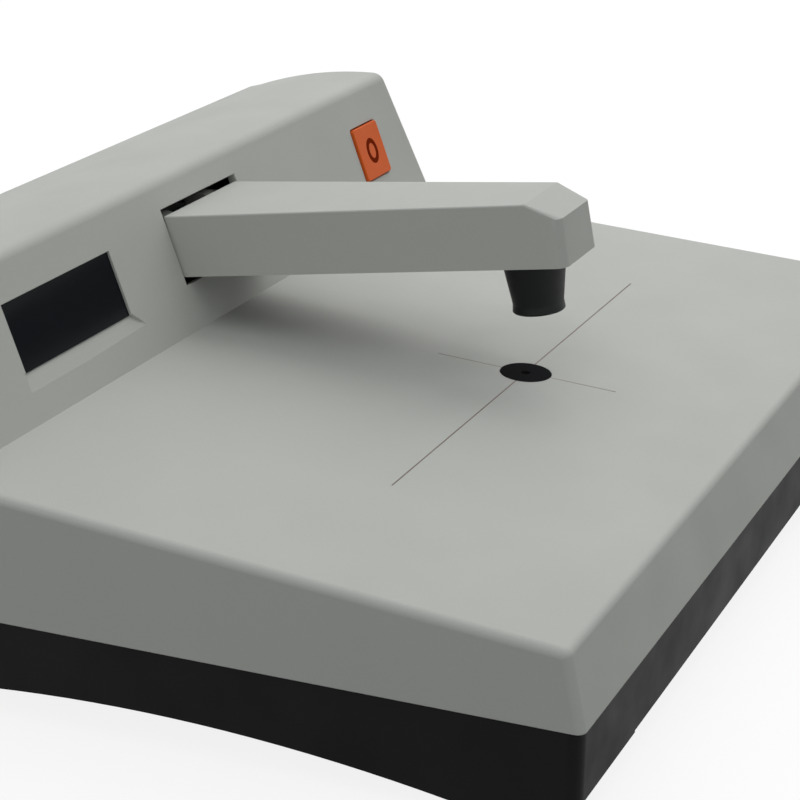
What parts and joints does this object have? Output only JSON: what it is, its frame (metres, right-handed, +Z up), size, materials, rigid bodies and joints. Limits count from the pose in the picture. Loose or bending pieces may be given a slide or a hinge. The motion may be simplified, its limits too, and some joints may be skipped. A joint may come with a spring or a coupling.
{
  "type": "photographic densitometer",
  "caption": "Desktop transmission densitometer: a sloping grey film table over a lamp, a hinged read arm with a probe, and a console with a display window and a zero key, on a black base.",
  "frame": {"origin": "on the ground that the rubber pads stand on, below the middle of the case", "axes": "+X to the right and +Z up as the user sees it, -Y towards the user: the table's low edge"},
  "size_m": [0.348, 0.2886, 0.1181],
  "materials": {
    "case_grey": "warm light grey moulding with a very fine texture, satin",
    "base_black": "black moulding with a fine texture",
    "arm_dark": "dark grey moulding",
    "window_smoke": "smoked acrylic, polished",
    "led_body": "dark digit block, satin face",
    "board_green": "green solder mask on laminate, glossy",
    "ribbon_grey": "grey ribbon cable",
    "key_orange": "orange moulding, satin",
    "spring_steel": "bright spring wire",
    "switch_black": "black moulding, satin",
    "rocker_black": "black moulding, polished",
    "screw_steel": "zinc plated steel",
    "probe_black": "black moulding, satin",
    "lens_glass": "clear glass",
    "diode_ceramic": "off-white ceramic",
    "bracket_steel": "zinc plated sheet",
    "bush_brass": "machined brass",
    "pin_steel": "ground steel",
    "disc_black": "black disc, satin",
    "opal_white": "opal acrylic",
    "lamp_glass": "clear lamp glass",
    "chip_black": "black packages, matte",
    "sink_aluminium": "extruded aluminium",
    "pad_rubber": "black rubber"
  },
  "bodies": {
    "root": {"upper_shell": "case_grey", "lower_base": "base_black", "display_window": "window_smoke", "led_display": "led_body", "display_board": "board_green", "display_ribbon": "ribbon_grey", "key_spring": "spring_steel", "key_switch": "switch_black", "key_board": "board_green", "board_screws": "screw_steel", "pivot_bracket": "bracket_steel", "pivot_bushes": "bush_brass", "pivot_pin": "pin_steel", "pivot_clips": "spring_steel", "arm_spring": "spring_steel", "bracket_screws": "screw_steel", "read_switch": "switch_black", "aperture_disc": "disc_black", "diffuser": "opal_white", "lamp_housing": "switch_black", "lamp_screws": "screw_steel", "lamp": "lamp_glass", "lamp_socket": "diode_ceramic", "main_board": "board_green", "board_chips": "chip_black", "heat_sink": "sink_aluminium", "power_jack": "switch_black", "power_switch": "switch_black", "rubber_feet": "pad_rubber", "case_screws": "screw_steel"},
    "arm": {"arm_housing": "case_grey", "arm_cover": "arm_dark", "arm_screws": "screw_steel", "probe_cone": "probe_black", "probe_nut": "screw_steel", "probe_lens": "lens_glass", "photodiode": "diode_ceramic", "detector_board": "board_green"},
    "zero_key": {"zero_key": "key_orange"},
    "read_lever": {"read_lever": "pin_steel"},
    "power_rocker": {"power_rocker": "rocker_black"}
  },
  "joints": [
    {"name": "arm_hinge", "type": "hinge", "parent": "root", "child": "arm", "pos_m": [0, 0.06651, 0.09724], "axis": [1, 0, 0], "range_deg": [0, 9.6], "stiffness_Nm_per_rad": 0.15, "springref_deg": -34.38, "deforming": ["arm_spring"]},
    {"name": "read_lever_pivot", "type": "hinge", "parent": "root", "child": "read_lever", "pos_m": [0, 0.10651, 0.09184], "axis": [1, 0, 0], "range_deg": [-18, 0]},
    {"name": "zero_key_press", "type": "slide", "parent": "root", "child": "zero_key", "axis": [0, 0.9455, -0.3256], "range_m": [0, 0.0014], "stiffness_N_per_m": 400, "springref_m": -0.002, "deforming": ["key_spring"]},
    {"name": "power_rocker_pivot", "type": "hinge", "parent": "root", "child": "power_rocker", "pos_m": [0.078, 0.13751, 0.02174], "axis": [0, 0.0523, 0.9986], "range_deg": [0, 16]}
  ],
  "couplings": [
    {"joint": "read_lever_pivot", "follows": "arm_hinge", "ratio": -1.7}
  ]
}
